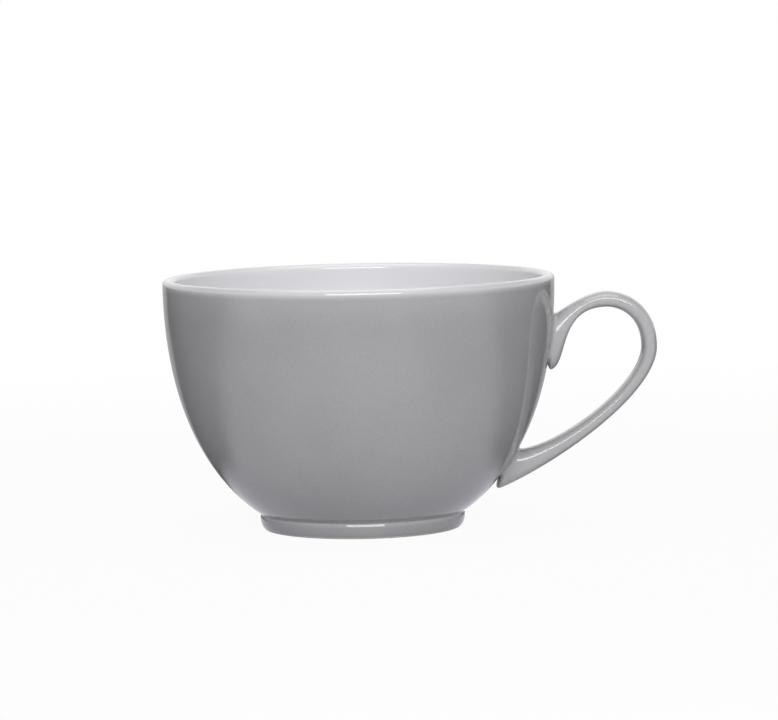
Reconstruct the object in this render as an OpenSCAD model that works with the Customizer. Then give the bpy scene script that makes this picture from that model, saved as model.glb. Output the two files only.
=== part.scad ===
// Glazed cup with a strap loop handle, millimetres.
// Z is up, the foot stands on z = 0 round the cup's axis, and the handle points along +X.

/* [Cup] */
// Height from the table to the top of the lip
cup_h = 61.9; // [54:0.1:74]
// Diameter at the rim, over the coats
rim_d = 96; // [86:0.5:112]
// Thickness of the lip, over the coats
lip_w = 2.8; // [2.2:0.1:3.6]
// Height of the rounded lip
lip_rise = 1.2; // [0.8:0.1:2]
// Wall thickness where the side meets the foot, over the coats
wall_low = 4.2; // [3.4:0.1:5]
// Thickness of each glaze coat
glaze_t = 0.3; // [0.2:0.05:0.45]

/* [Side] */
// How far the side curve starts outside the foot ring
belly_out = 1.7; // [1.2:0.1:2.6]
// Height of the start of the side curve
belly_z = 5.2; // [4.9:0.1:6.2]
// Lean of the side there, degrees from upright
belly_lean = 51.7; // [46:0.5:56]
// How far the belly's turning point lies inside the rim
belly_in = 1.5; // [0.6:0.1:4]
// Height below the lip over which the wall stands upright
rim_pull = 12; // [8:0.5:18]

/* [Foot] */
// Diameter of the foot ring at its widest, over the coat
foot_d = 50.4; // [46:0.2:56]
// Height of the widest point of the ring
foot_mid = 2.4; // [1.9:0.1:2.8]
// How far the ring rounds in below that point
foot_round = 1.6; // [1:0.1:2.2]
// How far the neck above the ring is set in
neck_in = 0.5; // [0.2:0.05:0.7]
// Height of the neck
neck_z = 3.6; // [3.3:0.1:4]
// Width of the bare ring that the cup stands on
ring_w = 2.4; // [1.6:0.1:3.2]
// Depth of the hollow under the floor
recess_h = 2.4; // [1.6:0.1:3]
// How far the hollow narrows from the ring to its flat
recess_in = 1.6; // [1:0.1:2.4]
// Height where the coat stops on the ring
bare_z = 0.45; // [0.3:0.05:0.7]
// Thickness of the floor, over the coats
floor_t = 3.8; // [3.2:0.1:4.6]
// Radius of the flat of the floor inside
floor_r = 13; // [9:0.5:16]

/* [Loop] */
// Reach of the loop beyond the rim
reach = 25; // [21:0.2:32]
// Thickness of the strap seen from the side
strap_t = 3.8; // [3:0.1:4.8]
// Width of the strap seen from the end
strap_w = 8; // [6:0.2:10]
// Squareness of the strap's section, 2 is an ellipse
strap_square = 2.7; // [2:0.1:4]
// Drop of the loop's crown below the lip
crown_drop = 4.9; // [3:0.1:7]
// How far the crown lies behind the outermost point
crown_back = 12.4; // [9.6:0.2:14.6]
// Drop of the outermost point below the crown
bow_drop = 13.6; // [10.4:0.2:16]
// Rise of the upper arm, degrees
arm_rise = 36.5; // [30:0.5:42]

/* [Joints] */
// Drop of the upper joint's top below the lip
upper_drop = 10.7; // [9.5:0.1:12.5]
// Height of the upper joint
upper_len = 13.4; // [11:0.2:16]
// Rise of the lower joint's bottom above the start of the side curve
lower_rise = 1.4; // [0.8:0.1:2.4]
// Height of the lower joint
lower_len = 11.8; // [10.2:0.2:13.4]
// Extra half width of the strap at the upper joint
spread_up = 1.4; // [0.4:0.1:2.2]
// Extra half width of the strap at the lower joint
spread_low = 0.8; // [0.2:0.1:2]
// Radius of the hollow blend in each joint's valley and along its sides
blend_r = 1.1; // [0.7:0.1:1.6]
// Length of the tail's free tip under the upper joint
tail_free = 1.8; // [1:0.1:2.6]
// Length of its end that turns in to the wall
tail_turn = 0.8; // [0.5:0.05:1]
// Rounding of the tail's corner
tail_round = 0.3; // [0.15:0.05:0.5]
// Length of the toe's free tip under the lower joint
toe_free = 8.6; // [6.4:0.2:9.2]
// Length of its end that turns in to the wall
toe_turn = 4.3; // [3.4:0.1:5]
// Rounding of the toe's corner
toe_round = 1; // [0.5:0.1:1.5]

/* [Hidden] */
$fn = 144;
side_steps = 15;
inner_steps = 12;
lip_steps = 6;
floor_steps = 5;
sect_n = 20;
rim_r = rim_d / 2;
foot_r = foot_d / 2;
neck_r = foot_r - neck_in;
lip_z = cup_h - lip_rise;
lip_mid = rim_r - lip_w / 2;
floor_z = recess_h + floor_t;
stand_out = foot_r - foot_round;
stand_in = stand_out - ring_w;
recess_r = stand_in - recess_in;
bare_in = stand_in - recess_in * bare_z / recess_h;
// Lengths that shape the curves between the named places
neck_pull = 0.6;
belly_start = 1.1;
floor_pull = 5;
tail_out = 6.3;
tail_lean = 1.9;
tail_dip = -5.5;
arm_pull = 7.6;
arm_end = 2.2;
run_out = 12.1;
run_in = 9.5;
toe_pull = 18.4;
toe_rise = 20;
heel_pull = 10.1;
heel_rise = 1.6;
bow_pull_x = 0.41;
bow_pull_z = 0.74;
arm_lag = 2.2;
toe_lag = 1;
// How far the strap runs into the wall before it is cut to it, and where its ends spread
seat_in = 1.4;
spread_run = 11;
coat_grey = [0.62, 0.62, 0.64];
coat_white = [0.93, 0.93, 0.93];
clay_white = [0.88, 0.87, 0.85];

function unit(v) = v / norm(v);
function lean(deg) = [sin(deg), cos(deg)];
function rise(deg) = [cos(deg), sin(deg)];
function out_of(d) = [d[1], -d[0]];
function reversed(v) = [for (i = [len(v) - 1 : -1 : 0]) v[i]];
function bez(p, t) = pow(1 - t, 3) * p[0] + 3 * pow(1 - t, 2) * t * p[1]
    + 3 * (1 - t) * t * t * p[2] + pow(t, 3) * p[3];
function bez_dir(p, t) = unit(pow(1 - t, 2) * (p[1] - p[0]) + 2 * (1 - t) * t * (p[2] - p[1])
    + t * t * (p[3] - p[2]));

// The side of the cup as seen, from the fillet above the foot to the lip
belly = [foot_r + belly_out, belly_z];
belly_pull = (rim_r - belly_in - belly[0]) / sin(belly_lean);
rim = [rim_r, lip_z];
side_curve = [belly, belly + belly_pull * lean(belly_lean), rim - [0, rim_pull], rim];
function side(t) = bez(side_curve, t);
function side_out(t) = out_of(bez_dir(side_curve, t));
function side_pts(d) = [for (i = [0 : side_steps - 1]) let (t = i / side_steps)
    side(t) - d * side_out(t)];

// The point of the side at height z, found by halving
function wall_at(z, low = 0, high = 1, n = 24) = let (m = (low + high) / 2)
    n == 0 ? side(m) : side(m)[1] < z ? wall_at(z, m, high, n - 1) : wall_at(z, low, m, n - 1);

// The concave fillet between the neck and the side
neck_curve = [[neck_r, neck_z], [neck_r, neck_z + neck_pull],
    belly - belly_start * lean(belly_lean), belly];
function neck_pts(d) = [for (t = [0, 0.35, 0.7])
    bez(neck_curve, t) - d * out_of(bez_dir(neck_curve, t))];

// The ring's outer side below its widest point, a degrees down from there
bare_a = asin(1 - bare_z / foot_mid);
function ring_low(a, d) = [stand_out + (foot_round - d) * cos(a), foot_mid - (foot_mid - d) * sin(a)];
function ring_pts(d) = concat([for (i = [3 : -1 : 1]) ring_low(bare_a * i / 3, d)],
    [[foot_r - d, foot_mid], [foot_r - neck_in / 2 - d, (foot_mid + neck_z) / 2]]);

// The rounded lip, from the outer side over the top to the inner side
function lip(a, d) = [lip_mid + (lip_w / 2 - d) * cos(a), lip_z + (lip_rise - d) * sin(a)];
function lip_pts(d) = [for (i = [0 : lip_steps]) lip(180 * i / lip_steps, d)];

// The inside, from the lip down to the middle of the floor; d goes into the clay
function inner(t, d) = side(t) - (wall_low + (lip_w - wall_low) * t - d) * side_out(t);
function inner_pts(d) = [for (i = [inner_steps - 1 : -1 : 1]) inner(i / inner_steps, d)];
function floor_curve(d) = [inner(0, d), inner(0, d) - floor_pull * lean(belly_lean),
    [floor_r + floor_pull, floor_z - d], [floor_r, floor_z - d]];
function floor_pts(d) = [for (i = [0 : floor_steps]) bez(floor_curve(d), i / floor_steps)];

// The hollow under the floor, from its middle to the ring; d goes into the clay
function recess_pts(d) = [[0, recess_h + d], [recess_r + d / 2, recess_h + d], [bare_in + d, bare_z]];

function outside(d) = concat(ring_pts(d), neck_pts(d), side_pts(d), [lip(0, d)]);
function inside(d) = concat(lip_pts(d), inner_pts(d), floor_pts(d), [[0, floor_z - d]]);

// The loop's outer and inner edge in the plane of the handle: arm, bow and run
bow_x = rim_r + reach;
crown_z = cup_h - crown_drop;
bow_z = crown_z - bow_drop;
crown_o = [bow_x - crown_back, crown_z];
crown_i = crown_o - [0, strap_t];
bow_o = [bow_x, bow_z];
bow_i = bow_o - [strap_t, 0];
upper_o = wall_at(cup_h - upper_drop);
upper_i = wall_at(cup_h - upper_drop - upper_len);
lower_o = wall_at(belly_z + lower_rise);
lower_i = wall_at(belly_z + lower_rise + lower_len);
function bow(a, b) = [a, a + [bow_pull_x * (b[0] - a[0]), 0], b + [0, bow_pull_z * (a[1] - b[1])], b];
edge_o = [[upper_o, upper_o + arm_pull * rise(arm_rise), crown_o - [arm_end, 0], crown_o],
    bow(crown_o, bow_o),
    [bow_o, bow_o - [0, run_out], lower_o + toe_pull * rise(toe_rise), lower_o]];
edge_i = [[upper_i, upper_i + tail_out * rise(tail_dip), [upper_i[0] + tail_lean, crown_i[1]], crown_i],
    bow(crown_i, bow_i),
    [bow_i, bow_i - [0, run_in], lower_i + heel_pull * rise(heel_rise), lower_i]];

// Places of the rings along the loop: 0 to 1 is the arm, 1 to 2 the bow, 2 to 3 the run
end_steps = [0, 0.006, 0.015, 0.026, 0.036, 0.05, 0.07, 0.1, 0.15, 0.22];
stations = concat(end_steps, [for (i = [3 : 10]) i / 11 + 0.03], [for (i = [0 : 7]) 1 + i / 8],
    [for (i = [0 : 7]) 2 + i / 10], [for (t = reversed(end_steps)) 3 - t]);
up_end = 12;
low_start = len(stations) - len(end_steps);
function seg(u) = u < 1 ? 0 : u < 2 ? 1 : 2;
function outer_t(u) = let (t = u - seg(u))
    u < 1 ? pow(t, arm_lag) : u < 2 ? t : t - toe_lag * pow(t, 4) * (1 - t);
function at_o(u) = bez(edge_o[seg(u)], outer_t(u));
function at_i(u) = bez(edge_i[seg(u)], u - seg(u));
function hollow(s) = s >= blend_r ? 0 : blend_r - sqrt(blend_r * blend_r - pow(blend_r - s, 2));
function tuck(s, free, turn, soft) = free / 2 / turn * (turn - s + norm([turn - s, soft]));
function flare(s) = s >= spread_run ? 0 : pow(1 - s / spread_run, 2);
function soft(q) = sign(q) * pow(abs(q), 2 / strap_square);

// One closed ring of the strap, d below the coat's surface, moved by v in the handle's plane
function strap_ring(u, d, v = [0, 0]) = let (
    upper = u < 1.5, joint = upper ? 0 : 3, spread = upper ? spread_up : spread_low,
    o = at_o(u), i = at_i(u), e = unit(o - i),
    so = norm(o - at_o(joint)), si = norm(i - at_i(joint)), s = (so + si) / 2,
    grow_o = upper ? hollow(so) : -tuck(so, toe_free, toe_turn, toe_round),
    grow_i = upper ? -tuck(si, tail_free, tail_turn, tail_round) : hollow(si),
    a = o + (grow_o - d) * e, b = i - (grow_i - d) * e,
    c = (a + b) / 2 + v, h = norm(a - b) / 2,
    w = strap_w / 2 + spread * flare(s) + hollow(s) - d)
    [for (k = [0 : sect_n - 1]) let (
        x = h * soft(cos(360 * k / sect_n)), y = w * soft(sin(360 * k / sect_n)))
        [c[0] + e[0] * x, y, c[1] + e[1] * x]];
function inward(u) = let (e = unit(at_o(u) - at_i(u))) [-e[1], e[0]] * seat_in;
function up_rings(d) = concat([strap_ring(0, d, inward(0))],
    [for (k = [0 : up_end]) strap_ring(stations[k], d)]);
function mid_rings(d) = [for (k = [up_end + 1 : low_start - 1]) strap_ring(stations[k], d)];
function low_rings(d) = concat([for (k = [low_start : len(stations) - 1]) strap_ring(stations[k], d)],
    [strap_ring(3, d, -inward(3))]);
function loop_rings(d) = concat(up_rings(d), mid_rings(d), low_rings(d));

// Triangles of the skin over n rings whose points start at number a
function skin(a, n) = [for (k = [0 : n - 2], j = [0 : sect_n - 1]) let (
    p = a + k * sect_n + j, q = a + k * sect_n + (j + 1) % sect_n)
    each [[p, q, q + sect_n], [p, q + sect_n, p + sect_n]]];
function flipped(f) = [for (t = f) [t[0], t[2], t[1]]];
function flat(rings) = [for (r = rings, p = r) p];

module solid_strap(rings) {
    n = len(rings);
    first = [for (j = [sect_n - 1 : -1 : 0]) j];
    last = [for (j = [0 : sect_n - 1]) (n - 1) * sect_n + j];
    polyhedron(flat(rings), concat([first], skin(0, n), [last]));
}

module tube_strap(outer_rings, inner_rings) {
    n = len(outer_rings);
    m = n * sect_n;
    z = m - sect_n;
    ends = [for (j = [0 : sect_n - 1]) let (q = (j + 1) % sect_n)
        each [[q, j, m + j], [q, m + j, m + q],
              [z + j, z + q, m + z + q], [z + j, m + z + q, m + z + j]]];
    polyhedron(concat(flat(outer_rings), flat(inner_rings)),
        concat(skin(0, n), flipped(skin(m, n)), ends));
}

// Everything within the outer coat's surface
module filled_cup() {
    rotate_extrude()
        polygon(concat(outside(0), [[0, lip_z], [0, bare_z]]));
}

// The outer coat before the joints are opened in it
module whole_coat() {
    rotate_extrude()
        polygon(concat(outside(0), reversed(outside(glaze_t))));
}

module bowl() {
    stand = [[bare_in, bare_z], [stand_in, 0], [stand_out, 0],
        ring_low((90 + bare_a) / 2, 0), ring_low(bare_a, 0)];
    clay_lip = [for (i = [1 : lip_steps]) lip(180 * i / lip_steps, glaze_t)];
    color(clay_white)
        rotate_extrude()
            polygon(concat(recess_pts(glaze_t), stand, outside(glaze_t), clay_lip,
                inner_pts(glaze_t), floor_pts(glaze_t), [[0, floor_z - glaze_t]]));
}

module handle() {
    color(clay_white)
        difference() {
            solid_strap(loop_rings(glaze_t));
            filled_cup();
        }
}

module upper_slip() {
    color(clay_white)
        intersection() {
            whole_coat();
            solid_strap(up_rings(glaze_t));
        }
}

module lower_slip() {
    color(clay_white)
        intersection() {
            whole_coat();
            solid_strap(low_rings(glaze_t));
        }
}

module outer_glaze() {
    color(coat_grey)
        difference() {
            whole_coat();
            solid_strap(up_rings(glaze_t));
            solid_strap(low_rings(glaze_t));
        }
}

module inner_glaze() {
    color(coat_white)
        rotate_extrude()
            polygon(concat(inside(0), reversed(inside(glaze_t))));
}

module handle_glaze() {
    color(coat_grey)
        difference() {
            tube_strap(loop_rings(0), loop_rings(glaze_t));
            filled_cup();
        }
}

module base_glaze() {
    color(coat_grey)
        rotate_extrude()
            polygon(concat(recess_pts(0), reversed(recess_pts(glaze_t))));
}

bowl();
handle();
upper_slip();
lower_slip();
outer_glaze();
inner_glaze();
handle_glaze();
base_glaze();
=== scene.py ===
import math

import bmesh
import bpy
from mathutils import Matrix, Vector


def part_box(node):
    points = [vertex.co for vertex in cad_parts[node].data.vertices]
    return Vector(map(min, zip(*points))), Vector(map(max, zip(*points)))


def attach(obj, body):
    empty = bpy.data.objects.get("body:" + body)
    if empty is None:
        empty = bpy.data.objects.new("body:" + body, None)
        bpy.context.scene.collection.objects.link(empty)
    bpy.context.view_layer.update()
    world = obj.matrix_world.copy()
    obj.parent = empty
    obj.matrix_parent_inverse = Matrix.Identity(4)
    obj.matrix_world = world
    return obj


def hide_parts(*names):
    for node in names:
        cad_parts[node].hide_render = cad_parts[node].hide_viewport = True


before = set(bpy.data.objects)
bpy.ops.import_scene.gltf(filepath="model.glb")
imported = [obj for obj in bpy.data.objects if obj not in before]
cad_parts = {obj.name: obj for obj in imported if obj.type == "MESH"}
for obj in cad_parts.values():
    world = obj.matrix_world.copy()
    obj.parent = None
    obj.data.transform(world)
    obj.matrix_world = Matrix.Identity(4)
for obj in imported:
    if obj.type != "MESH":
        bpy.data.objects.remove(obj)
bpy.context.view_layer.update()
mm = 0.001  # lengths below are in millimetres, apart from the studio's
print("frame loaded:", len(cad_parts), "nodes")


# curves in the plane of the profile, as (radius, height)
def bezier(points, t):
    a, b, c, d = points
    return a * (1 - t) ** 3 + b * 3 * t * (1 - t) ** 2 + c * 3 * t * t * (1 - t) + d * t ** 3


def heading(points, t):
    a, b, c, d = points
    return ((b - a) * (1 - t) ** 2 + (c - b) * 2 * t * (1 - t) + (d - c) * t * t).normalized()


def lean(degrees):
    return Vector((math.sin(math.radians(degrees)), math.cos(math.radians(degrees))))


def rise(degrees):
    return Vector((math.cos(math.radians(degrees)), math.sin(math.radians(degrees))))


def rightOf(way):
    return Vector((way.y, -way.x))


def shares(count):
    return [i / count for i in range(count + 1)]


# the cup's own sizes; what the frame gives is taken from it
cup = {
    "top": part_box("inner_glaze")[1].z / mm,
    "rimRadius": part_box("inner_glaze")[1].y / mm,
    "coat": (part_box("inner_glaze")[1].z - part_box("bowl")[1].z) / mm,
    "lipWidth": 2.8,  # the wall's thickness at the top
    "lipRise": 1.2,
    "wallLow": 4.2,  # the wall's thickness at the belly
    "bellyOut": 1.7,
    "bellyHeight": 5.2,
    "bellyLean": 51.7,  # degrees from upright
    "bellyIn": 1.5,
    "bellyStart": 0.9,
    "rimPull": 12,
    "footRadius": 25.2,
    "footMid": 3.0,  # the height where the ring is widest
    "footRound": 1.6,
    "neckIn": 0.16,
    "neckHeight": 3.75,
    "neckPull": 0.3,
    "ringWidth": 2.4,
    "recessDepth": 2.4,
    "recessIn": 1.6,
    "recessCorner": 0.48,
    "recessStart": 1.5,
    "recessFlat": 0.85,  # share of the hollow's radius
    "bareHeight": 0.45,
    "floorThick": 3.8,
    "floorRadius": 13,
    "floorPull": 5,
    "softEdge": 35,  # degrees, up to which edges are shaded smooth
    "sides": 160,  # round the axis
    "sideSteps": 44,
    "innerSteps": 44,
    "lipSteps": 14,
    "footSteps": 10,
    "floorSteps": 16,
    "middleSteps": 4,
    "recessSteps": 8,
    "standSteps": 6,
}
lipHeight = cup["top"] - cup["lipRise"]
lipMiddle = cup["rimRadius"] - cup["lipWidth"] / 2
floorHeight = cup["recessDepth"] + cup["floorThick"]
standOut = cup["footRadius"] - cup["footRound"]
standIn = standOut - cup["ringWidth"]
bareIn = standIn - cup["recessIn"] * cup["bareHeight"] / cup["recessDepth"]
bareAngle = math.asin(1 - cup["bareHeight"] / cup["footMid"])
bellyWay = lean(cup["bellyLean"])
belly = Vector((cup["footRadius"] + cup["bellyOut"], cup["bellyHeight"]))
bellyPull = (cup["rimRadius"] - cup["bellyIn"] - belly.x) / bellyWay.x
rim = Vector((cup["rimRadius"], lipHeight))
sideCurve = [belly, belly + bellyWay * bellyPull, rim - Vector((0, cup["rimPull"])), rim]
neck = Vector((cup["footRadius"] - cup["neckIn"], cup["neckHeight"]))
neckCurve = [neck, neck + Vector((0, cup["neckPull"])), belly - bellyWay * cup["bellyStart"], belly]
ringTop = Vector((cup["footRadius"], cup["footMid"]))
ringRise = Vector((0, (cup["neckHeight"] - cup["footMid"]) / 3))
ringCurve = [ringTop, ringTop + ringRise, neck - ringRise, neck]


# depth is how far below the glazed skin a point lies
def offCurve(curve, t, depth):
    return bezier(curve, t) - rightOf(heading(curve, t)) * depth


def ringLow(angle, depth):
    return Vector((standOut + (cup["footRound"] - depth) * math.cos(angle),
                   cup["footMid"] - (cup["footMid"] - depth) * math.sin(angle)))


def lipPoint(angle, depth):
    return Vector((lipMiddle + (cup["lipWidth"] / 2 - depth) * math.cos(angle),
                   lipHeight + (cup["lipRise"] - depth) * math.sin(angle)))


def innerPoint(t, depth):
    wall = cup["wallLow"] + (cup["lipWidth"] - cup["wallLow"]) * t
    return offCurve(sideCurve, t, wall - depth)


# from the glaze line on the foot ring up to the lip
def outsideOf(depth):
    low = [ringLow(bareAngle * (1 - t), depth) for t in shares(cup["footSteps"])]
    ring = [offCurve(ringCurve, t, depth) for t in shares(cup["footSteps"])[1:]]
    hollow = [offCurve(neckCurve, t, depth) for t in shares(cup["footSteps"])[1:]]
    side = [offCurve(sideCurve, t, depth) for t in shares(cup["sideSteps"])[1:]]
    return low + ring + hollow + side


# from the outside of the lip over its top and down to the middle of the floor
def insideOf(depth):
    lip = [lipPoint(math.pi * t, depth) for t in shares(cup["lipSteps"])]
    wall = [innerPoint(1 - t, depth) for t in shares(cup["innerSteps"])[1:]]
    start = innerPoint(0, depth)
    end = Vector((cup["floorRadius"], floorHeight - depth))
    curve = [start, start - bellyWay * cup["floorPull"], end + Vector((cup["floorPull"], 0)), end]
    floor = [bezier(curve, t) for t in shares(cup["floorSteps"])[1:]]
    middle = [Vector((end.x * (1 - t), end.y)) for t in shares(cup["middleSteps"])[1:]]
    return lip + wall + floor + middle


# from the middle of the hollow under the floor out to the glaze line on the ring
def recessOf(depth):
    edge = Vector((standIn - cup["recessIn"] + depth / 2, cup["recessDepth"] + depth))
    line = Vector((bareIn + depth, cup["bareHeight"]))
    corner = edge + Vector((cup["recessCorner"], 0))
    curve = [edge - Vector((cup["recessStart"], 0)), corner, corner, line]
    reach = edge.x * cup["recessFlat"]
    middle = [Vector((reach * t, edge.y)) for t in shares(cup["middleSteps"])[:-1]]
    return middle + [bezier(curve, t) for t in shares(cup["recessSteps"])]


# the bare ring that the cup stands on, from its inside out
def standOf():
    flat = math.pi / 2
    under = [ringLow(flat + (bareAngle - flat) * t, 0) for t in shares(cup["standSteps"])]
    return [Vector((bareIn, cup["bareHeight"])), Vector((standIn, 0))] + under


tiny = 0.02  # a smaller radius is closed at the axis


def selectOpenEdges(piece):
    bpy.ops.mesh.select_all(action="DESELECT")
    mesh = bmesh.from_edit_mesh(piece.data)
    for edge in mesh.edges:
        if len(edge.link_faces) == 1:
            edge.select_set(True)
    bmesh.update_edit_mesh(piece.data)


# a circle extruded ring by ring, each ring scaled to the profile; the piece stays in edit mode
def turnPiece(name, profile):
    first = profile[0]
    bpy.ops.object.select_all(action="DESELECT")
    bpy.ops.mesh.primitive_circle_add(vertices=cup["sides"], radius=max(first.x, tiny) * mm,
                                      location=(0, 0, first.y * mm))
    piece = bpy.context.object
    piece.name = name
    bpy.ops.object.transform_apply(location=True, rotation=False, scale=False)
    bpy.ops.object.mode_set(mode="EDIT")
    bpy.ops.mesh.select_all(action="SELECT")
    if first.x < tiny:
        bpy.ops.mesh.edge_face_add()
        bpy.ops.mesh.poke()
        selectOpenEdges(piece)
    for last, point in zip(profile, profile[1:]):
        step = (0, 0, (point.y - last.y) * mm)
        grow = max(point.x, tiny) / max(last.x, tiny)
        bpy.ops.mesh.extrude_region_move(TRANSFORM_OT_translate={"value": step})
        bpy.ops.transform.resize(value=(grow, grow, 1), center_override=(0, 0, point.y * mm))
    if profile[-1].x < tiny:
        bpy.ops.mesh.merge(type="CENTER")
    return piece


# turns the skin so that its face nearest the probe looks along the way given, and leaves edit mode
def faceOut(piece, probe, way):
    bpy.ops.mesh.select_all(action="SELECT")
    bpy.ops.mesh.normals_make_consistent(inside=False)
    mesh = bmesh.from_edit_mesh(piece.data)
    nearest = min(mesh.faces, key=lambda face: (face.calc_center_median() - probe).length)
    if nearest.normal.dot(way) < 0:
        bpy.ops.mesh.flip_normals()
    bpy.ops.object.mode_set(mode="OBJECT")


def thicken(piece, depth):
    shell = piece.modifiers.new("coatThickness", "SOLIDIFY")
    shell.thickness = depth * mm
    shell.offset = -1
    bpy.ops.object.modifier_apply(modifier=shell.name)


def smooth(piece, degrees):
    bpy.ops.object.select_all(action="DESELECT")
    piece.select_set(True)
    bpy.context.view_layer.objects.active = piece
    bpy.ops.object.shade_smooth_by_angle(angle=math.radians(degrees))


def makeCoat(name, profile, way):
    piece = turnPiece(name, profile)
    probe = profile[len(profile) // 2]
    faceOut(piece, Vector((0, -probe.x, probe.y)) * mm, way)
    thicken(piece, cup["coat"])
    smooth(piece, cup["softEdge"])
    return piece


def makeBowl():
    depth = cup["coat"]
    profile = recessOf(depth) + standOf() + outsideOf(depth) + insideOf(depth)
    piece = turnPiece("bowlClay", profile)
    bpy.ops.mesh.select_all(action="SELECT")
    bpy.ops.mesh.remove_doubles(threshold=tiny * mm / 4)
    faceOut(piece, Vector((0, -cup["rimRadius"], lipHeight)) * mm, Vector((0, -1, 0)))
    smooth(piece, cup["softEdge"])
    return piece


# the strap that makes the loop, seen from the side as two edges: arm, bow and run
strap = {
    "bowX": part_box("handle_glaze")[1].x / mm,
    "crownZ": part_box("handle_glaze")[1].z / mm,
    "thick": 3.8,
    "width": 8,
    "square": 2.7,  # 2 is an ellipse
    "crownBack": 12.4,
    "bowDrop": 13.6,
    "bowPull": (0.41, 0.74),
    "armRise": 36.5,
    "armPull": 7.6,
    "armEnd": 2.2,
    "armLag": 2.2,  # the outer edge keeps behind the inner one
    "tailOut": 6.3,
    "tailLean": 1.9,
    "tailDip": -5.5,
    "tailFree": 1.8,
    "tailTurn": 0.8,
    "tailRound": 0.3,
    "runOut": 12.1,
    "runIn": 9.5,
    "runLag": 4,
    "toePull": 18.4,
    "toeRise": 20,
    "toeFree": 8.6,
    "toeTurn": 4.3,
    "toeRound": 1,
    "heelPull": 10.1,
    "heelRise": 1.6,
    "upperDrop": 10.7,
    "upperLength": 13.4,
    "lowerRise": 1.4,
    "lowerLength": 11.8,
    "spreadUp": 1.4,
    "spreadLow": 0.8,
    "spreadRun": 11,
    "seatIn": 4,
    "valleyBlend": 1.3,
    "tipBlend": 0.25,
    "coatShare": 0.93,  # of the coat's thickness, so that the coat stays off the clay
    "softEdge": 50,
    "sections": 96,
    "blendSteps": 10,
    "armSteps": 44,
    "bowSteps": 48,
    "runSteps": 80,
    "crowding": 1.7,  # of the rings towards both joints
    "upperSearch": (-1, 0.7),  # where along the loop the skin may meet the wall
    "lowerSearch": (4, 2.6),
    "wallHalvings": 24,
    "skinHalvings": 26,
}


# the share of the side curve at a height
def wallAt(height):
    low, high = 0, 1
    for _ in range(strap["wallHalvings"]):
        middle = (low + high) / 2
        if bezier(sideCurve, middle).y < height:
            low = middle
        else:
            high = middle
    return low


def wallPoint(height):
    return bezier(sideCurve, wallAt(height))


upperHeight = cup["top"] - strap["upperDrop"]
lowerHeight = cup["bellyHeight"] + strap["lowerRise"]
upperTop = wallPoint(upperHeight)
upperEnd = wallPoint(upperHeight - strap["upperLength"])
lowerEnd = wallPoint(lowerHeight)
lowerTop = wallPoint(lowerHeight + strap["lowerLength"])
crown = Vector((strap["bowX"] - strap["crownBack"], strap["crownZ"]))
bow = Vector((strap["bowX"], strap["crownZ"] - strap["bowDrop"]))
crownIn = crown - Vector((0, strap["thick"]))
bowIn = bow - Vector((strap["thick"], 0))
bowProbe = Vector((bow.x, 0, bow.y)) * mm


def bowCurve(a, b):
    pullX, pullZ = strap["bowPull"]
    return [a, a + Vector((pullX * (b.x - a.x), 0)), b + Vector((0, pullZ * (a.y - b.y))), b]


outerEdge = [
    [upperTop, upperTop + rise(strap["armRise"]) * strap["armPull"],
     crown - Vector((strap["armEnd"], 0)), crown],
    bowCurve(crown, bow),
    [bow, bow - Vector((0, strap["runOut"])),
     lowerEnd + rise(strap["toeRise"]) * strap["toePull"], lowerEnd],
]
innerEdge = [
    [upperEnd, upperEnd + rise(strap["tailDip"]) * strap["tailOut"],
     Vector((upperEnd.x + strap["tailLean"], crownIn.y)), crownIn],
    bowCurve(crownIn, bowIn),
    [bowIn, bowIn - Vector((0, strap["runIn"])),
     lowerTop + rise(strap["heelRise"]) * strap["heelPull"], lowerTop],
]


# both edges at u, which runs 0 to 1 along the arm, to 2 along the bow and to 3 along the run
def edgesAt(u):
    part = min(int(u), 2)
    t = u - part
    lagged = t
    if part == 0:
        lagged = t ** strap["armLag"]
    if part == 2:
        lagged = t - t ** strap["runLag"] * (1 - t)
    return bezier(outerEdge[part], lagged), bezier(innerEdge[part], t)


# how far an end's free edge is drawn in, near its joint
def tuckOf(end, run):
    left = strap[end + "Turn"] - run
    return strap[end + "Free"] / 2 / strap[end + "Turn"] * (left + math.hypot(left, strap[end + "Round"]))


def softPower(value):
    return math.copysign(abs(value) ** (2 / strap["square"]), value)


# a point of the strap's skin and the middle of its section; u runs past both ends into the wall
def strapPoint(u, angle, depth):
    inside = min(max(u, 0), 3)
    upper = u < 1.5
    outer, inner = edgesAt(inside)
    outerJoint, innerJoint = edgesAt(0 if upper else 3)
    across = (outer - inner).normalized()
    outerRun = (outer - outerJoint).length
    innerRun = (inner - innerJoint).length
    a = outer - across * (depth + (0 if upper else tuckOf("toe", outerRun)))
    b = inner + across * (depth + (tuckOf("tail", innerRun) if upper else 0))
    run = (outerRun + innerRun) / 2
    spread = strap["spreadUp"] if upper else strap["spreadLow"]
    wide = strap["width"] / 2 - depth + spread * max(0, 1 - run / strap["spreadRun"]) ** 2
    x = (a - b).length / 2 * softPower(math.cos(angle))
    y = wide * softPower(math.sin(angle))
    sunk = Vector((-across.y, across.x)) * strap["seatIn"] * (inside - u)
    skin = (a + b) / 2 + across * x + sunk
    middle = (a + b) / 2 + sunk
    return Vector((skin.x, y, skin.y)), Vector((middle.x, 0, middle.y))


# how far a point stands off the outer coat, and the coat's own direction there
def offWall(point):
    t = wallAt(point.z)
    way = heading(sideCurve, t)
    radius = math.hypot(point.x, point.y)
    gap = (radius - bezier(sideCurve, t).x) * way.y
    out = Vector((way.y * point.x / radius, way.y * point.y / radius, -way.x))
    return gap, out


# where the line of the skin at this angle stands a given gap off the wall
def meetWall(angle, gap, upper, depth):
    inner, outer = strap["upperSearch"] if upper else strap["lowerSearch"]
    for _ in range(strap["skinHalvings"]):
        middle = (inner + outer) / 2
        if offWall(strapPoint(middle, angle, depth)[0])[0] < gap:
            inner = middle
        else:
            outer = middle
    return inner


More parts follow.
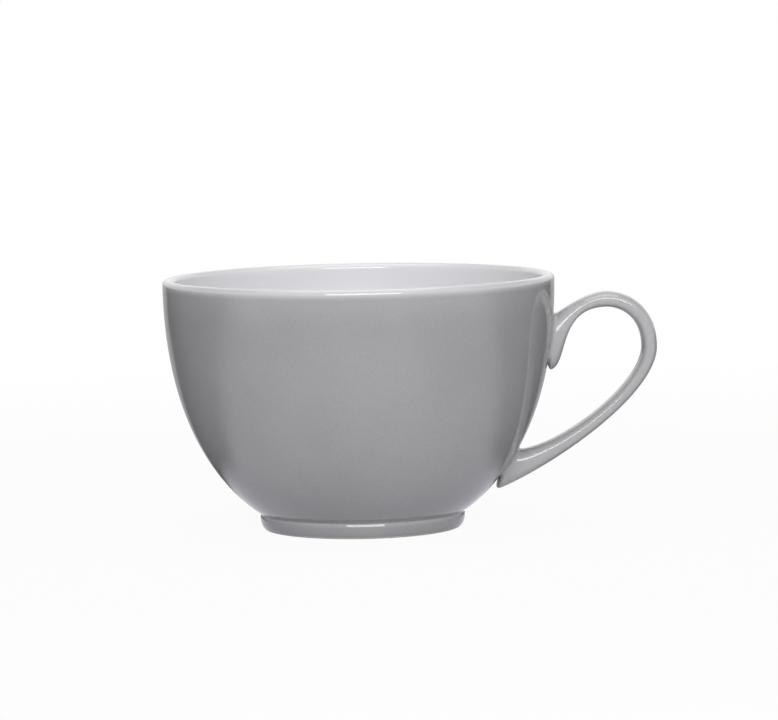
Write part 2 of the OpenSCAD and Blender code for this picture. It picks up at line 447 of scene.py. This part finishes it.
# the blend's radius is largest in the valley above or below the strap and smallest at its tip
def blendAt(angle, upper):
    share = (1 + math.cos(angle)) / 2 if upper else (1 - math.cos(angle)) / 2
    return strap["tipBlend"] + (strap["valleyBlend"] - strap["tipBlend"]) * share


def blendPoint(angle, turn, upper):
    radius = blendAt(angle, upper)
    gap = radius * (1 - math.cos(turn))
    point, middle = strapPoint(meetWall(angle, gap, upper, 0), angle, 0)
    out = offWall(point)[1]
    aside = point - middle
    aside = (aside - out * aside.dot(out)).normalized()
    point = point + aside * radius * (1 - math.sin(turn))
    return point + out * (gap - offWall(point)[0])


def strapRings(depth, blended):
    angles = [2 * math.pi * k / strap["sections"] for k in range(strap["sections"])]

    def endsOf(upper):
        return [meetWall(a, blendAt(a, upper) if blended else 0, upper, depth) for a in angles]

    def blendsOf(upper, turns):
        return [[blendPoint(a, turn, upper) for a in angles] for turn in turns]

    upperEnds, lowerEnds = endsOf(True), endsOf(False)
    turns = [math.pi / 2 * t for t in shares(strap["blendSteps"])[:-1]] if blended else []
    rings = blendsOf(True, turns)
    for t in shares(strap["armSteps"])[:-1]:
        crowded = t ** strap["crowding"]
        rings.append([strapPoint(s + (1 - s) * crowded, a, depth)[0] for s, a in zip(upperEnds, angles)])
    for t in shares(strap["bowSteps"])[:-1]:
        rings.append([strapPoint(1 + t, a, depth)[0] for a in angles])
    for t in shares(strap["runSteps"]):
        crowded = 1 - (1 - t) ** strap["crowding"]
        rings.append([strapPoint(2 + (s - 2) * crowded, a, depth)[0] for s, a in zip(lowerEnds, angles)])
    return rings + blendsOf(False, turns[::-1])


# a ring extruded along the loop, each new ring laid on its section; the piece stays in edit mode
def loftPiece(name, rings):
    bpy.ops.object.select_all(action="DESELECT")
    bpy.ops.mesh.primitive_circle_add(vertices=len(rings[0]), radius=strap["width"] * mm)
    piece = bpy.context.object
    piece.name = name
    bpy.ops.object.mode_set(mode="EDIT")
    bpy.ops.mesh.select_all(action="SELECT")
    mesh = bmesh.from_edit_mesh(piece.data)
    for vertex, point in zip(mesh.verts, rings[0]):
        vertex.co = point * mm
    for last, ring in zip(rings, rings[1:]):
        bmesh.update_edit_mesh(piece.data)
        bpy.ops.mesh.extrude_region()
        mesh = bmesh.from_edit_mesh(piece.data)
        for vertex in [v for v in mesh.verts if v.select]:
            spot = vertex.co / mm
            nearest = min(range(len(last)), key=lambda k: (last[k] - spot).length_squared)
            vertex.co = ring[nearest] * mm
    bmesh.update_edit_mesh(piece.data)
    return piece


def makeHandleCoat():
    piece = loftPiece("handleCoat", strapRings(0, True))
    faceOut(piece, bowProbe, Vector((1, 0, 0)))
    thicken(piece, cup["coat"] * strap["coatShare"])
    smooth(piece, strap["softEdge"])
    return piece


def makeHandleClay():
    piece = loftPiece("handleClay", strapRings(cup["coat"], False))
    selectOpenEdges(piece)
    bpy.ops.mesh.edge_face_add()
    faceOut(piece, bowProbe, Vector((1, 0, 0)))
    smooth(piece, strap["softEdge"])
    return piece


# one output socket, so that shader sums read as plain sums
class Wire:
    def __init__(self, finish, socket):
        self.finish = finish
        self.socket = socket

    def __add__(self, other):
        return self.finish.maths("ADD", self, other)

    def __radd__(self, other):
        return self.finish.maths("ADD", other, self)

    def __sub__(self, other):
        return self.finish.maths("SUBTRACT", self, other)

    def __rsub__(self, other):
        return self.finish.maths("SUBTRACT", other, self)

    def __mul__(self, other):
        return self.finish.maths("MULTIPLY", self, other)

    def __rmul__(self, other):
        return self.finish.maths("MULTIPLY", other, self)


# the nodes of a material or of the world
class Finish:
    def __init__(self, holder):
        holder.use_nodes = True
        self.tree = holder.node_tree
        self.tree.nodes.clear()

    def node(self, kind, settings, sockets, output=0):
        made = self.tree.nodes.new(kind)
        for name, value in settings.items():
            setattr(made, name, value)
        for name, value in sockets.items():
            if isinstance(value, Wire):
                self.tree.links.new(value.socket, made.inputs[name])
            else:
                made.inputs[name].default_value = value
        return Wire(self, made.outputs[output]) if len(made.outputs) else made

    def maths(self, operation, a, b):
        return self.node("ShaderNodeMath", {"operation": operation}, {0: a, 1: b})

    def blend(self, share, a, b):
        return self.node("ShaderNodeMix", {"data_type": "RGBA"}, {0: share, 6: a, 7: b}, 2)

    def noise(self, spot, scale, detail=3.0):
        return self.node("ShaderNodeTexNoise", {}, {"Vector": spot, "Scale": scale, "Detail": detail})

    # 0 to 1 from one end to the other
    def ease(self, value, ends, unit=1):
        sockets = {"Value": value, "From Min": ends[0] * unit, "From Max": ends[1] * unit}
        return self.node("ShaderNodeMapRange", {"interpolation_type": "SMOOTHSTEP"}, sockets)

    def spot(self):
        return self.node("ShaderNodeTexCoord", {}, {}, "Object")

    def along(self, axis, vector):
        return self.node("ShaderNodeSeparateXYZ", {}, {0: vector}, axis)

    def level(self, vector):
        return self.node("ShaderNodeVectorMath", {"operation": "MULTIPLY"}, {0: vector, 1: (1, 1, 0)})

    def length(self, vector):
        return self.node("ShaderNodeVectorMath", {"operation": "LENGTH"}, {0: vector}, "Value")

    def ray(self, kind):
        return self.node("ShaderNodeLightPath", {}, {}, kind)

    def bump(self, height, strength, depth):
        sockets = {"Strength": strength, "Distance": depth * mm, "Height": height}
        return self.node("ShaderNodeBump", {}, sockets)

    def principled(self, sockets):
        surface = self.node("ShaderNodeBsdfPrincipled", {}, sockets)
        self.node("ShaderNodeOutputMaterial", {}, {"Surface": surface})


# colours are linear; shares say how much each thing thins or lightens the grey, and ends where it starts and
# stops; the crease band is painted light, not thinner glaze
greyCoat = {
    "grey": (0.345, 0.340, 0.352, 1),
    "thin": (0.515, 0.508, 0.518, 1),
    "pale": (0.63, 0.63, 0.645, 1),  # at the edge of the lip
    "wallShare": 0.10,
    "loopShare": 0.80,
    "evenShare": 0.26,  # what cloud and grain add on the whole
    "cloudScale": 38.0,
    "cloudEnds": (0.3, 0.7),  # of the pattern itself
    "cloudShare": 0.16,
    "grainScale": 1900.0,
    "grainShare": 0.36,
    "upperEnds": (cup["top"] - 10, cup["top"] - 1.5),  # as heights, and so below
    "upperShare": 0.24,
    # painted light: the grey is lightened in the hollow above the foot ring, to lift the shade that falls in
    # it
    "creaseLightStart": (2.7, 3.6),
    "creaseLightEnd": (4.2, 5.6),
    "creaseLightShare": 0.3,
    "lipEnds": (cup["top"] - 3.0, cup["top"] - 1.0),
    "roughness": 0.035,
    "cloudRoughness": 0.03,
    "peelScale": 420.0,
    "peelStrength": 0.01,
    "peelDepth": 0.2,
    "ior": 1.5,
}


def greyGlaze(name, share):
    material = bpy.data.materials.new(name)
    finish = Finish(material)
    spot = finish.spot()
    height = finish.along("Z", spot)
    cloud = finish.noise(spot, greyCoat["cloudScale"])
    grain = finish.noise(spot, greyCoat["grainScale"], 1.0)
    peel = finish.noise(spot, greyCoat["peelScale"], 1.0)
    upper = finish.ease(height, greyCoat["upperEnds"], mm)
    # painted light: a lighter band in the hollow above the foot ring lifts the shade there
    creaseLight = finish.ease(height, greyCoat["creaseLightStart"], mm)
    creaseLight = creaseLight * (1 - finish.ease(height, greyCoat["creaseLightEnd"], mm))
    lip = finish.ease(height, greyCoat["lipEnds"], mm)
    thin = finish.ease(cloud, greyCoat["cloudEnds"]) * greyCoat["cloudShare"] + grain * greyCoat["grainShare"]
    thin = thin + upper * greyCoat["upperShare"] + creaseLight * greyCoat["creaseLightShare"]
    thin = thin + (share - greyCoat["evenShare"])
    colour = finish.blend(thin, greyCoat["grey"], greyCoat["thin"])
    finish.principled({
        "Base Color": finish.blend(lip * lip, colour, greyCoat["pale"]),
        "Roughness": greyCoat["roughness"] + cloud * greyCoat["cloudRoughness"],
        "Normal": finish.bump(peel, greyCoat["peelStrength"], greyCoat["peelDepth"]),
        "IOR": greyCoat["ior"],
    })
    return material


whiteCoat = {
    "white": (0.80, 0.80, 0.82, 1),
    "pool": (0.74, 0.745, 0.775, 1),  # where it lies thick, on and near the floor
    "poolEnds": (floorHeight, floorHeight + 16),  # as heights
    "poolShare": 0.7,
    "cloudScale": 30.0,
    "cloudShare": 0.2,
    "edge": greyCoat["pale"],  # the lip's outer side
    "edgeEnds": (lipMiddle + 0.4, lipMiddle + 1.2),  # as radii
    "edgeShare": 0.9,
    "roughness": 0.035,
    "cloudRoughness": 0.02,
    "ior": 1.5,
}


def whiteGlaze():
    material = bpy.data.materials.new("whiteGlaze")
    finish = Finish(material)
    spot = finish.spot()
    cloud = finish.noise(spot, whiteCoat["cloudScale"])
    pool = 1 - finish.ease(finish.along("Z", spot), whiteCoat["poolEnds"], mm)
    edge = finish.ease(finish.length(finish.level(spot)), whiteCoat["edgeEnds"], mm)
    pooled = pool * whiteCoat["poolShare"] + cloud * whiteCoat["cloudShare"]
    colour = finish.blend(pooled, whiteCoat["white"], whiteCoat["pool"])
    finish.principled({
        "Base Color": finish.blend(edge * whiteCoat["edgeShare"], colour, whiteCoat["edge"]),
        "Roughness": whiteCoat["roughness"] + cloud * whiteCoat["cloudRoughness"],
        "IOR": whiteCoat["ior"],
    })
    return material


clay = {
    "body": (0.74, 0.72, 0.68, 1),
    "slip": (0.70, 0.68, 0.64, 1),
    "speck": (0.50, 0.47, 0.43, 1),
    "gritScale": 1400.0,
    "speckEnds": (0.62, 0.72),
    "speckShare": 0.5,
    "stainScale": 120.0,
    "stainShare": 0.12,
    "roughness": 0.75,
    "stainRoughness": 0.15,
    "gritStrength": 0.25,
    "gritDepth": 0.1,
}


def bareClay(name, colour):
    material = bpy.data.materials.new(name)
    finish = Finish(material)
    spot = finish.spot()
    grit = finish.noise(spot, clay["gritScale"], 2.0)
    stain = finish.noise(spot, clay["stainScale"])
    marks = finish.ease(grit, clay["speckEnds"]) * clay["speckShare"] + stain * clay["stainShare"]
    finish.principled({
        "Base Color": finish.blend(marks, colour, clay["speck"]),
        "Roughness": clay["roughness"] + stain * clay["stainRoughness"],
        "Normal": finish.bump(grit, clay["gritStrength"], clay["gritDepth"]),
    })
    return material


# white floor and surround, a long soft box in front and a lamp overhead, in metres and watts;
# what gloss sees of the room is dark at both sides, as with dark cards beside the cup
studio = {
    "floorSize": 3,
    "floorDrop": 0.00002,
    "floorColour": (0.66, 0.66, 0.67, 1),
    "floorGlow": 0.95,
    "floorTint": (0.93, 0.90, 1.0, 1),  # in gloss
    "floorFade": (0.16, 0.5),
    "white": (1, 1, 1, 1),
    "ambient": 0.26,
    "sideStart": (-0.35, 0.05),  # minus the cosine of the angle from the camera's side
    "sideEnd": (0.87, 0.935),
    "floorSideEnd": (0.74, 0.86),
    "sideNear": (0.040, 0.062),  # away from the axis
    "lightStart": (0.01, 0.05),  # sine of the height above the horizon
    "lightEnd": (0.40, 0.55),
    "sideTone": 0.06,
    "backTone": 0.52,
    "aim": (0, 0, 0.035),
    "frontPlace": (0.05, -1.0, 0.42),
    "frontSize": (0.80, 0.32),
    "frontPower": 6.7,
    "topPlace": (0.0, 0.1, 0.9),
    "topSize": (0.7, 0.7),
    "topPower": 3.3,
}


# 1 where all of the white is seen, lower for gloss at the sides
def sideShade(finish, way, end, share):
    even = finish.node("ShaderNodeVectorMath", {"operation": "NORMALIZE"}, {0: finish.level(way)})
    back = finish.along("Y", even)
    start = finish.ease(back, studio["sideStart"]) * share
    fade = finish.ease(back, end) * (studio["backTone"] - studio["sideTone"])
    return 1 - start * finish.ray("Is Glossy Ray") * (1 - studio["sideTone"] - fade)


# 1 where the room itself is seen, straight or in gloss, and 0 where it lights the cup
def raysSeen(finish):
    return finish.ray("Is Camera Ray") + finish.ray("Is Glossy Ray") + finish.ray("Is Transmission Ray")


def makeRoom():
    world = bpy.data.worlds.new("whiteRoom")
    bpy.context.scene.world = world
    finish = Finish(world)
    way = finish.node("ShaderNodeTexCoord", {}, {}, "Generated")
    up = finish.along("Z", way)
    bright = finish.ease(up, studio["lightStart"]) * (1 - finish.ease(up, studio["lightEnd"]))
    shade = sideShade(finish, way, studio["sideEnd"], 1 - bright)
    dim = finish.node("ShaderNodeBackground", {}, {"Color": studio["white"], "Strength": studio["ambient"]})
    white = finish.node("ShaderNodeBackground", {}, {"Color": studio["white"], "Strength": shade})
    mixed = finish.node("ShaderNodeMixShader", {}, {0: raysSeen(finish), 1: dim, 2: white})
    finish.node("ShaderNodeOutputWorld", {}, {"Surface": mixed})


# the floor fades into the room behind it, and is clear from below
def makeFloor():
    bpy.ops.object.select_all(action="DESELECT")
    bpy.ops.mesh.primitive_plane_add(size=studio["floorSize"], location=(0, 0, -studio["floorDrop"]))
    floor = bpy.context.object
    floor.name = "floor"
    material = bpy.data.materials.new("whiteFloor")
    finish = Finish(material)
    spot = finish.spot()
    away = finish.length(spot)
    seen = raysSeen(finish)
    shade = sideShade(finish, spot, studio["floorSideEnd"], finish.ease(away, studio["sideNear"]))
    tint = finish.blend(finish.ray("Is Glossy Ray"), studio["white"], studio["floorTint"])
    matt = finish.node("ShaderNodeBsdfDiffuse", {}, {"Color": studio["floorColour"]})
    glow = finish.node("ShaderNodeEmission", {}, {"Color": tint, "Strength": shade})
    top = finish.node("ShaderNodeMixShader", {}, {0: seen * studio["floorGlow"], 1: matt, 2: glow})
    clear = finish.node("ShaderNodeBsdfTransparent", {}, {})
    below = finish.node("ShaderNodeNewGeometry", {}, {}, "Backfacing")
    gone = finish.maths("MAXIMUM", below, finish.ease(away, studio["floorFade"]) * seen)
    both = finish.node("ShaderNodeMixShader", {}, {0: gone, 1: top, 2: clear})
    finish.node("ShaderNodeOutputMaterial", {}, {"Surface": both})
    floor.data.materials.append(material)


def addLamp(name):
    bpy.ops.object.light_add(type="AREA", location=studio[name + "Place"])
    lamp = bpy.context.object
    lamp.name = name + "Lamp"
    lamp.data.shape = "RECTANGLE"
    lamp.data.size, lamp.data.size_y = studio[name + "Size"]
    lamp.data.energy = studio[name + "Power"]
    aim = Vector(studio["aim"]) - lamp.location
    lamp.rotation_euler = aim.to_track_quat("-Z", "Y").to_euler()


# the camera stands a metre off, a little above the rim
camera = {
    "place": (0, -1000, 130.55),
    "aim": (7.15, 0, 41.03),
    "roll": -1.05,  # degrees
    "lens": 189.2,
    "sensor": 36,
}


def makeCamera():
    place = Vector(camera["place"]) * mm
    ahead = (Vector(camera["aim"]) * mm - place).normalized()
    level = ahead.cross(Vector((0, 0, 1))).normalized()
    across = Matrix.Rotation(math.radians(camera["roll"]), 3, -ahead) @ level
    bpy.ops.object.select_all(action="DESELECT")
    bpy.ops.object.camera_add(location=place)
    eye = bpy.context.object
    eye.name = "cupCamera"
    eye.rotation_euler = Matrix((across, across.cross(ahead), -ahead)).transposed().to_euler()
    eye.data.lens = camera["lens"]
    eye.data.sensor_width = camera["sensor"]
    bpy.context.scene.camera = eye


def seat(piece, slotName, material, *nodes):
    piece.data.materials.clear()
    piece.data.materials.append(material)
    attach(piece, "root")
    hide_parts(*nodes)


wallGrey = greyGlaze("greyGlaze", greyCoat["wallShare"])
loopGrey = greyGlaze("greyGlazeThin", greyCoat["loopShare"])
insideWhite = whiteGlaze()
bare = bareClay("bareClay", clay["body"])
slip = bareClay("joiningSlip", clay["slip"])
print("glazes mixed")

outerCoat = makeCoat("outerCoat", outsideOf(0), Vector((0, -1, 0)))
innerCoat = makeCoat("innerCoat", insideOf(0), Vector((0, 1, 0)))
baseCoat = makeCoat("baseCoat", recessOf(0), Vector((0, 0, -1)))
bowl = makeBowl()
print("bowl and coats turned")
handleCoat = makeHandleCoat()
handleClay = makeHandleClay()
print("loop lofted")

seat(outerCoat, "grey_glaze", wallGrey, "outer_glaze")
seat(innerCoat, "white_glaze", insideWhite, "inner_glaze")
seat(baseCoat, "grey_glaze", wallGrey, "base_glaze")
seat(bowl, "clay", bare, "bowl")
seat(handleCoat, "grey_glaze", loopGrey, "handle_glaze")
seat(handleClay, "clay", bare, "handle")
for node in ("upper_slip", "lower_slip"):
    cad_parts[node].data.materials.clear()
    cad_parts[node].data.materials.append(slip)
print("pieces seated")

makeRoom()
makeFloor()
for lampName in ("front", "top"):
    addLamp(lampName)
makeCamera()
bpy.context.scene.view_settings.view_transform = "Standard"
print("studio lit")
